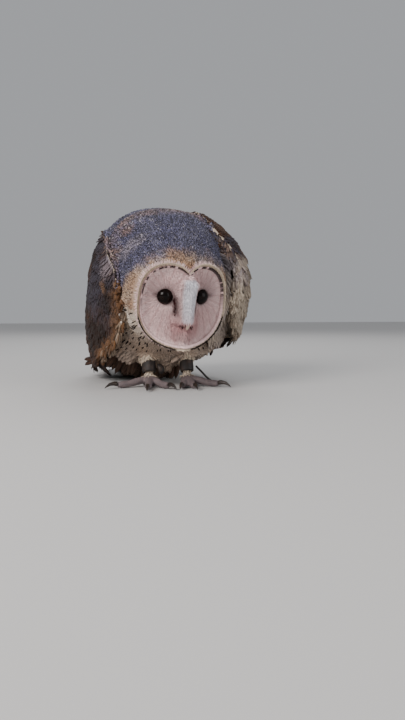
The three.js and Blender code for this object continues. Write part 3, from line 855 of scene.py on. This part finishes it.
def eye_material():
    numbers = {"Roughness": 0.06, "Specular IOR Level": 0.14}
    return mottled("eye", (0x0C0706, 0x170A06), (200.0, 3.0, 0.4, 0.7), None, numbers)


# ---- skin piece ----

# painted shade: the skin under the coat takes its tint darkened to this share, for the shade between the
# feathers
PAINTED_SKIN_SHADE = 0.8  # how bright the skin is beside its coat
tints = body_marking(skin_points)[0] * PAINTED_SKIN_SHADE
for side, region in WING.items():
    wing_tint, _ = wing_marking(skin_points, side)
    outside = (skin_normals[:, 0] * SIDES[side] > 0.05).astype(float)
    here = skin_region == region
    tints[here] = (mix(CREAM, wing_tint, outside) * PAINTED_SKIN_SHADE)[here]
tints[skin_region == LEG] = CREAM * PAINTED_SKIN_SHADE
tints[is_foot] = TOE_GREY
across, up, out = face_coordinates(skin_points)
face_share = (1 - smooth(0.92, 0.96, disc_reach(across, up))) * (skin_region == BODY) * (out > FACE_BACK)
tints = mix(tints, face_marking(skin_points), face_share)
skin = make_object("skin", skin_points, skin_faces, skin_material(), FLESH)
set_colour(skin, "tint", tints)

# ---- coat ----

across, up, out = face_coordinates(face_centre)
reach = disc_reach(across, up)
disc_faces = (reach < 0.95) & (out > FACE_BACK) & (face_region == BODY)
body_faces = (face_region == BODY) & ~disc_faces
# the small feathers of the head end in a ragged line on the nape
nape = -62 + 30 * (noise(face_centre, 7, 18) - 0.5)
head_faces = body_faces & (out > nape) & ((reach > 1.005) | (out < -14))
rear_faces = body_faces & (out <= nape)
plumage_fine = plumage("plumage_fine", 0.85, 0.3)
plumage_vane = plumage("plumage_vane", 0.75, 0.25, vaned=True)


def body_direction(roots, normals):
    """Feathers of the body lie from the face back to the tail."""
    slope = -0.55 * smooth(20, 110, roots[:, 1])
    back = np.stack([np.zeros(len(roots)), np.ones(len(roots)), slope], axis=1)
    _, _, out = face_coordinates(roots)
    outward = unit(np.stack([roots[:, 0], np.zeros(len(roots)), roots[:, 2] - 86], axis=1))
    spread = 0.35 * smooth(-12, 0, out)[:, None]
    return along_skin(back + spread * outward, normals)


def ruffled(directions, normals, amount, seed):
    """Directions turned a little, each its own way, in the plane of the skin."""
    turn = np.random.default_rng(seed).normal(0, amount, len(directions))[:, None]
    return directions * np.cos(turn) + np.cross(normals, directions) * np.sin(turn)


def jitter(total, spread, seed):
    """Random factors about 1."""
    return 1 + np.random.default_rng(seed).uniform(-spread, spread, total)


SPOT_SPACING, SPOT_LENGTH, SPOT_WIDTH = 8.0, 6.0, 1.25
CONTOUR_CURVE = 1 / 90  # feathers bend to the body's own round


def contour_coat(name, chosen, spacing, length, width, outline, rise, seed, slot):
    """The feathers of the head or the body, some with dark or pale tips, and dark spots below."""
    roots, normals = scatter(chosen, spacing, seed)
    total = len(roots)
    directions = ruffled(body_direction(roots, normals), normals, 0.1, seed + 1)
    tint, fleck, under = body_marking(roots)
    size = jitter(total, 0.2, seed + 2)
    tone = jitter(total, 0.08, seed + 3)[:, None]
    dice = np.random.default_rng(seed + 4).random(total)
    tip = mix(tint * tone, SOOT, 0.7 * ((dice < 0.36 * fleck) & (under < 0.3)))
    tip = mix(tip, WHITE, 0.28 * ((dice > 1 - 0.07 * fleck) & (under < 0.3)))
    fluffy = 1 + 0.45 * under
    across, up, out = face_coordinates(roots)
    by_rim = 1 - 0.75 * (1 - smooth(1.0, 1.14, disc_reach(across, up))) * smooth(-30, -16, out)
    coat = Coat(name, slot)
    coat.add(
        roots, normals, directions, length * size * fluffy, width * fluffy, outline, tint * tone, fleck,
        around_body, rise=rise * by_rim * jitter(total, 0.15, seed + 5), curve=CONTOUR_CURVE, tip_tint=tip,
    )
    roots, normals = scatter(chosen, SPOT_SPACING, seed + 6)
    _, _, under = body_marking(roots)
    seen = (under > 0.35) & (roots[:, 2] > 42) & (roots[:, 1] < 40)
    roots, normals = roots[seen], normals[seen]
    tint = np.tile(SOOT, (len(roots), 1))
    coat.add(
        roots, normals, body_direction(roots, normals), SPOT_LENGTH, SPOT_WIDTH, LEAF, tint, 0.0,
        around_body, rise=rise + 1.0, curve=CONTOUR_CURVE,
    )
    coat.make(plumage_fine)


NECK_LIE = np.array([0.2, 0.5, -0.8])


def neck_fluff():
    """Loose long feathers of the neck that close the gap to the lifted left wing."""
    x, y, z = face_centre.T
    chosen = body_faces & (x > 44) & (np.abs(y) < 34) & (z > 52) & (z < 142)
    roots, normals = scatter(chosen, 2.4, 100)
    total = len(roots)
    directions = ruffled(along_skin(NECK_LIE, normals), normals, 0.15, 101)
    tint = mix(mix(CREAM, LILAC, 0.6 * noise(roots, 12, 16)), WING_GREY, 0.8 * smooth(104, 138, roots[:, 2]))
    tint = tint * jitter(total, 0.06, 102)[:, None]
    fluff = Coat("coat_neck", "plumage_white")
    fluff.add(
        roots, normals, directions, 15 * jitter(total, 0.2, 103), 3.6, DOWN, tint, 0.1, around_body,
        rise=7 * jitter(total, 0.25, 104), thickness=0.3,
    )
    fluff.make(plumage_fine)


neck_fluff()
contour_coat(
    "coat_head", head_faces, spacing=1.3, length=6.6, width=2.2, outline=TUFT, rise=2.4, seed=20,
    slot="plumage_grey",
)
contour_coat(
    "coat_body", rear_faces, spacing=2.3, length=13, width=4.4, outline=DOWN, rise=3.6, seed=40,
    slot="plumage_white",
)

roots, normals = scatter(disc_faces, 1.0, 60)
across, up, out = face_coordinates(roots)
clear = eye_distance(across, up) > LID_RADIUS + 0.1
roots, normals, across, up = roots[clear], normals[clear], across[clear], up[clear]
# the hairs of the disc run out from each eye, and those of the ridge run down
from_eye = unit(np.stack([across - np.sign(across) * EYE_SPREAD / 2, up - EYE_HEIGHT], axis=1))
ridge = on_ridge(across, up)[:, None]
flow = from_eye * (1 - ridge) + np.stack([across / 32, -np.ones(len(across))], axis=1) * ridge
flat = flow[:, :1] * FACE_ACROSS + flow[:, 1:] * FACE_UP
directions = ruffled(along_skin(flat, normals), normals, 0.14, 61)
total = len(roots)
reach = disc_reach(across, up)
length = (4.0 + 2.6 * np.minimum(reach, 0.9)) * jitter(total, 0.25, 62)
shown = roots + directions * length[:, None] * 0.7
tint = face_marking(shown) * jitter(total, 0.07, 63)[:, None]
face = Coat("coat_face", "plumage_face")
face.add(
    roots, normals, directions, length, 0.62, HAIR, tint, 0.0, on_disc,
    rise=1.1 * jitter(total, 0.4, 64), thickness=0.22, sink=0.3,
)

# ---- ruff round the disc ----


def brow_dashes(turn, places):
    """Broken dark marks from the notch over the brows."""
    return (1 - smooth(66, 100, turn)) * smooth(0.3, 0.42, noise(places, 2.4, 9))


def jaw_line(turn, places):
    """A dark line round the lower half, open at the chin."""
    return smooth(98, 106, turn) * (1 - smooth(167, 173, turn)) * smooth(0.1, 0.2, noise(places, 3, 10))


RIM_COUNT = 320
RIM_WIDTH = 1.2  # of one feather
DISC_EDGE = mix(DISC_WHITE, DISC_PINK, 0.25)
# Rows of stiff feathers: share of the disc's reach, depth under its surface, and how far they lean out.
RIM_ROWS = [
    {"share": 0.905, "depth": 0.8, "lean": 1.5, "length": 4.0, "tint": DISC_EDGE, "dark": brow_dashes},
    {"share": 0.955, "depth": 1.2, "lean": 1.3, "length": 3.0, "tint": CREAM, "dark": None},
    {"share": 0.965, "depth": 1.5, "lean": 1.5, "length": 4.5, "tint": CREAM, "dark": jaw_line},
]
for number, row in enumerate(RIM_ROWS):
    angle = (np.arange(RIM_COUNT) + 0.5 * (number % 2)) / RIM_COUNT * 2 * math.pi
    radius = disc_rim(angle) * row["share"]
    across, up = radius * np.sin(angle), radius * np.cos(angle)
    start = from_face(across, up, disc_fold(across) - row["depth"])
    outward = unit(across[:, None] * FACE_ACROSS + up[:, None] * FACE_UP)
    direction = unit(FACE_OUT + row["lean"] * outward)
    normal = unit(FACE_OUT - direction * (direction @ FACE_OUT)[:, None])
    tint = row["tint"] * jitter(RIM_COUNT, 0.1, 70 + number)[:, None]
    tip = tint
    if row["dark"]:
        turn = np.degrees(np.abs(np.arctan2(across, up)))
        dark = row["dark"](turn, start)
        tint, tip = mix(tint, RIM_DARK, 0.8 * dark), mix(tint, RIM_DARK, dark)
    face.add(
        start, normal, direction, row["length"] * jitter(RIM_COUNT, 0.1, 80 + number), RIM_WIDTH, LEAF,
        tint, 0.0, on_disc, rise=0.8, thickness=0.4, sink=0.0, tip_tint=tip,
    )


def bristles(across, up, lean, length, stand, seed):
    """Short dark hairs on the face that hang from the given places."""
    total = len(across)
    dice = np.random.default_rng(seed)
    across, up = across + dice.normal(0, 0.5, total), up + dice.normal(0, 0.7, total)
    start = from_face(across, up, face_relief(across, up) + stand)
    hang = unit(-FACE_UP + lean * np.sign(across)[:, None] * FACE_ACROSS)
    tint = MAROON * jitter(total, 0.3, seed)[:, None]
    normals = np.tile(FACE_OUT, (total, 1))
    face.add(start, normals, hang, length, 0.8, HAIR, tint, 0.0, on_disc, rise=1.6, thickness=0.3, sink=0.2)


for sign in SIDES.values():
    down = np.linspace(0, 1, 46)
    bristles(sign * (11.4 - 1.2 * down), 9 - 15 * down, -0.1, 4.0, -0.5, 130 + sign)
    bristles(np.full(12, sign * NOSTRIL_SIDE), np.full(12, -16.0), 0.3, 3.0, 5.0, 134 + sign)
face.make(plumage_fine)


# ---- wings ----


def wing_flow(points, sign):
    """Feathers hang down the front of a folded wing and lie back along the rest of it."""
    front, rear = np.array([0.0, 0.45, -0.9]), np.array([0.06 * -sign, 0.93, -0.36])
    return mix(front, rear, smooth(-25, 60, points[:, 1]))


SMALL_COVERT, EDGE_COVERT = 3.4, 5.5
COVERT_LENGTH, COVERT_SPACING = 3.0, 0.52  # in widths


def covert_width(points, facing, inner):
    """Outer coverts grow from the wrist to the rear and the lower edge, but less where the wing turns in."""
    if inner:
        return np.full(len(points), SMALL_COVERT)
    growth = 0.6 * smooth(-45, 120, points[:, 1]) + 0.4 * smooth(150, 40, points[:, 2])
    width = SMALL_COVERT + 6.6 * growth
    return np.where(facing > 0.3, width, np.minimum(width, EDGE_COVERT))


for side, sign in SIDES.items():
    on_wing = face_region == WING[side]
    outer = on_wing & ((face_normal[:, 0] * sign > 0.02) | (face_centre[:, 1] > 45))
    coat = Coat(f"coat_wing_{side}", "plumage_brown")
    for inner, chosen in ((False, outer), (True, on_wing & ~outer)):
        spacing = COVERT_SPACING * covert_width(face_centre, face_normal[:, 0] * sign, inner)
        roots, normals = scatter(chosen, spacing, 90 + sign)
        total = len(roots)
        width = covert_width(roots, normals[:, 0] * sign, inner)
        flow = wing_flow(roots, sign)
        directions = ruffled(along_skin(flow, normals), normals, 0.07 if inner else 0.1, 91 + sign)
        length = width * COVERT_LENGTH * room_along(flow, normals) * jitter(total, 0.15, 93)
        tint, fleck = wing_marking(roots, side, inner)
        tint = tint * jitter(total, 0.05 if inner else 0.22, 92 + sign)[:, None]
        tip = mix(tint, CREAM, 0.1) if inner else mix(tint, WING_DARK, 0.35)
        if inner:
            spotted = (np.random.default_rng(94 + sign).random(total) > 0.95) & (roots[:, 2] < 112)
            tip[spotted] = SOOT
        coat.add(
            roots, normals, directions, length, width, LEAF, tint, fleck,
            beside, rise=1.8, curve=1 / 130, thickness=0.25 if inner else 0.4, tip_tint=tip,
        )
    coat.make(plumage_vane)

# ---- flight feathers and tail ----

# Lines along the folded flight feathers, wrist to tip: the upper edge, the middle and the lower edge.
FLIGHT_LINES = {
    "right": [
        [(-58, 26, 90), (-56, 64, 92), (-50, 112, 78), (-38, 160, 50), (-28, 205, 30), (-24, 236, 12)],
        [(-66, 26, 70), (-74, 62, 56), (-72, 110, 38), (-60, 158, 22), (-44, 206, 13), (-31, 238, 7)],
        [(-58, 24, 52), (-62, 54, 18), (-54, 96, 4), (-48, 146, 2.4), (-42, 198, 2.4), (-34, 236, 3)],
    ],
    "left": [
        [(70, 26, 98), (62, 66, 96), (50, 114, 80), (38, 162, 54), (28, 208, 31), (24, 240, 14)],
        [(78, 26, 80), (80, 64, 68), (72, 112, 48), (56, 162, 30), (42, 209, 17), (30, 242, 8)],
        [(70, 24, 56), (69, 60, 42), (62, 104, 26), (54, 156, 13), (44, 204, 5), (33, 240, 3)],
    ],
}
FLIGHT_COUNT = 19
FLIGHT_ROOT = 52  # where the lowest one starts
FLIGHT_WIDTH = 18  # of the uppermost one
FLIGHT_TAPER = 108  # how much sooner the uppermost one ends
FLIGHT_BROWN = mix(mix(GOLD, WING_BROWN, 0.5), WING_GREY, 0.3)
TAIL_COUNT = 12
TAIL_HALF = 27.0  # from the middle to the outermost feather
TAIL_ROOT, TAIL_LENGTH, TAIL_WIDTH = 122, 104, 17
TAIL_BUFF = mix(BUFF, GOLD, 0.45)
BLADE_SHARES = BLADE[0]


def on_flight(side, y, level):
    """Points of the folded flight feathers at y, from the lower edge (level 0) to the upper (1)."""
    upper, middle, lower = (
        np.stack([np.interp(y, [p[1] for p in line], [p[k] for p in line]) for k in range(3)], axis=-1)
        for line in FLIGHT_LINES[side]
    )
    t = level[:, None]
    return lower * (1 - t) * (1 - 2 * t) + middle * 4 * t * (1 - t) + upper * t * (2 * t - 1)


for side, sign in SIDES.items():
    flights = Coat(f"flights_{side}", "plumage_flight", [f"flight_{side}"])
    for number in range(FLIGHT_COUNT):
        height = 0.04 + 0.94 * (number / (FLIGHT_COUNT - 1)) ** 1.1
        tip = FLIGHT_LINES[side][1][-1][1] - FLIGHT_TAPER * height**1.1
        root = FLIGHT_ROOT + 40 * height
        y = root + (tip - root) * BLADE_SHARES
        # towards its tip each vane rises to the upper edge
        level = height + (1 - height) * 0.85 * BLADE_SHARES**4
        points = on_flight(side, y, level)
        along, upward = on_flight(side, y + 1, level) - points, on_flight(side, y, level + 0.02) - points
        normals = unit(np.cross(along, upward))
        normals *= np.sign(normals[:, :1] * sign)
        points += normals * (1.5 + 2.2 * (height - 0.4))
        points[:, 2] = np.maximum(points[:, 2], 1.5)
        tint = FLIGHT_BROWN * (0.8 + 0.15 * (number % 3))
        tip_tint = mix(tint, WING_GREY, 0.5)
        place = beside(points[:1])[0]
        width = FLIGHT_WIDTH + 5 * (1 - height)
        flights.vane(points, normals, width, tint, tip_tint, 0.6, place, thickness=0.9)
    flights.make(plumage_vane)


def cast_down(tree, x, y):
    """Where points over a solid drop onto it, and its normals there."""
    points, normals = [], []
    for place in zip(x.tolist(), y.tolist()):
        hit, normal, _, _ = tree.ray_cast((*place, 200.0), (0, 0, -1))
        if hit is None:
            hit, normal, _, _ = tree.find_nearest((*place, 5.0))
        points.append(hit)
        normals.append(normal)
    return np.array(points, float), unit(np.array(normals, float))


def relaxed_line(values, rounds):
    """A line of values with its bends eased, its ends kept."""
    values = values.copy()
    for _ in range(rounds):
        values[1:-1] = (values[:-2] + 2 * values[1:-1] + values[2:]) / 4
    return values


end_points, end_faces = joined([node_mesh(name) for name in ("tail", "trunk")])
rear_tree = BVHTree.FromPolygons(end_points.tolist(), end_faces.tolist())
tail = Coat("tail_feathers", "plumage_flight", ["tail"])
for number in range(TAIL_COUNT):
    lateral = 2 * number / (TAIL_COUNT - 1) - 1
    y = TAIL_ROOT + (TAIL_LENGTH - 5 * lateral**2) * BLADE_SHARES
    x = lateral * TAIL_HALF * (0.7 + 0.3 * BLADE_SHARES)
    points, normals = cast_down(rear_tree, x, y)
    points = relaxed_line(points, 2)
    normals = unit(relaxed_line(normals, 4))
    points[:, 2] = np.maximum(points[:, 2] - 0.5 - 1.2 * abs(lateral), 0.9)
    tint = TAIL_BUFF * (0.9 + 0.1 * (number % 2))
    place = np.array([0.1 + 0.07 * number, 0.5])
    tail.vane(points, normals, TAIL_WIDTH, tint, mix(tint, WHITE, 0.35), 0.5, place, thickness=0.8)
tail.make(plumage_vane)

under_tail = Coat("tail_coverts", "plumage_brown")
beneath = rear_faces & (face_centre[:, 1] > 30) & (face_centre[:, 0] < 20) & (face_normal[:, 2] < -0.1)
roots, normals = scatter(beneath, 5.0, 110)
total = len(roots)
trailing = unit(np.array([0.0, 0.85, -0.35]) + 0.35 * normals)
# painted shade: the coverts under the tail are dark browns, for the shade beneath the body
tint = mix(WING_DARK, WING_BROWN, noise(roots, 9, 15)) * jitter(total, 0.2, 111)[:, None]
# as long as their height over the floor allows
length = np.minimum(34, np.maximum(roots[:, 2] - 5, 6) / 0.42) * jitter(total, 0.2, 112)
under_tail.add(
    roots, normals, trailing, length, 8.0, DOWN, tint, 0.2, around_body, rise=3.0, thickness=0.5,
    tip_tint=mix(tint, BUFF, 0.2),
)
under_tail.make(plumage_vane)

# ---- legs ----

LEG_LIE = np.array([0.0, 0.15, -1.0])
coat = Coat("coat_legs", "plumage_white")
roots, normals = scatter(face_region == LEG, 1.9, 120)
total = len(roots)
directions = ruffled(along_skin(LEG_LIE, normals), normals, 0.2, 121)
tint = CREAM * jitter(total, 0.1, 123)[:, None]
coat.add(
    roots, normals, directions, 5.5 * jitter(total, 0.25, 122), 1.9, DOWN, tint, 0.0, on_legs,
    rise=1.6, thickness=0.3,
)
coat.make(plumage_fine)

# ---- eyes, bill, claws, leather ----

HORN_VOXEL = 0.5
LEATHER_VOXEL = 0.6


def smooth_copy(name, nodes, voxel, rounds, material):
    """A finer, rounder copy of CAD nodes that stands for them."""
    points, faces = remeshed(*joined([node_mesh(node) for node in nodes]), voxel)
    make_object(name, relaxed(points, faces, rounds, 0.5), faces, material, nodes)


eye_shader = eye_material()
for side, sign in SIDES.items():
    centre = from_face(np.array([sign * EYE_SPREAD / 2]), EYE_HEIGHT, EYE_DEPTH)[0]
    bpy.ops.mesh.primitive_uv_sphere_add(segments=48, ring_count=24, radius=EYE_RADIUS / 1000)
    ball = bpy.context.object
    ball.name = f"eyeball_{side}"
    ball.data.transform(Matrix.Translation(Vector(to_row(centre))))
    ball.data.shade_smooth()
    ball.data.materials.append(eye_shader)
    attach(ball, "root")
    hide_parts(f"eye_{side}")

claw_nodes = [f"claw_{side}_{toe}" for side in SIDES for toe in TOE_NAMES]
claw_horn = horn("claw_horn", (0x1E1714, 0x3A2E28), 0.35)
bill_horn = horn("bill_horn", (0xD9BFAF, 0xC49C8E), 0.4)
bill_low = horn("bill_low", (0xD0B0A0, 0xB98F84), 0.4)
smooth_copy("claws", claw_nodes, HORN_VOXEL, 6, claw_horn)
smooth_copy("bill", ["bill_upper"], HORN_VOXEL, 6, bill_horn)
smooth_copy("bill_under", ["bill_lower"], HORN_VOXEL, 5, bill_low)
leather = leather_material()
for side in SIDES:
    smooth_copy(f"cuff_{side}", [f"anklet_{side}"], LEATHER_VOXEL, 3, leather)
    smooth_copy(f"jess_{side}", [f"strap_{side}"], LEATHER_VOXEL, 4, leather)

# ---- studio ----


def area_light(name, place, target, size, power, colour=(1, 1, 1)):
    data = bpy.data.lights.new(name, "AREA")
    data.size, data.energy, data.color = size, power, colour
    lamp = placed(name, data)
    lamp.location = place
    lamp.rotation_mode = "QUATERNION"
    lamp.rotation_quaternion = (Vector(target) - Vector(place)).to_track_quat("-Z", "Y")


FLOOR_HALF = 4.0  # metres
paper = Nodes("floor").finished({"Base Color": (0.62, 0.61, 0.6, 1), "Roughness": 0.8})
corners = FLOOR_HALF * np.array([(-1, -1, 0), (1, -1, 0), (1, 1, 0), (-1, 1, 0)])
floor = placed("floor", new_mesh("floor", corners, np.array([(0, 1, 2, 3)]), paper))

world = bpy.data.worlds.new("studio")
world.use_nodes = True
sky = world.node_tree.nodes["Background"]
sky.inputs["Color"].default_value = (0.86, 0.88, 0.92, 1)
sky.inputs["Strength"].default_value = 0.45
bpy.context.scene.world = world
area_light("key", (-1.0, -0.9, 0.8), (0, -0.05, 0.09), size=0.7, power=20, colour=(1.0, 0.96, 0.93))
area_light("fill", (0.9, -1.0, 0.4), (0, -0.05, 0.09), size=0.9, power=4.5)
area_light("back", (0.3, 1.1, 1.2), (0, 0, 0.1), size=0.8, power=7)

# The camera stands low before the owl, a little to its right.
CAMERA = {"place": (-146.8, -690.5, 80.0), "turn": 15.0, "pitch": 4.22, "focus": 650 / 720}
camera_data = bpy.data.cameras.new("camera")
camera_data.sensor_width = 36
camera_data.lens = 36 * CAMERA["focus"]
camera = placed("camera", camera_data)
camera.location = to_row(CAMERA["place"])
camera.rotation_euler = (math.radians(90 - CAMERA["pitch"]), 0, math.radians(-CAMERA["turn"]))
bpy.context.scene.camera = camera
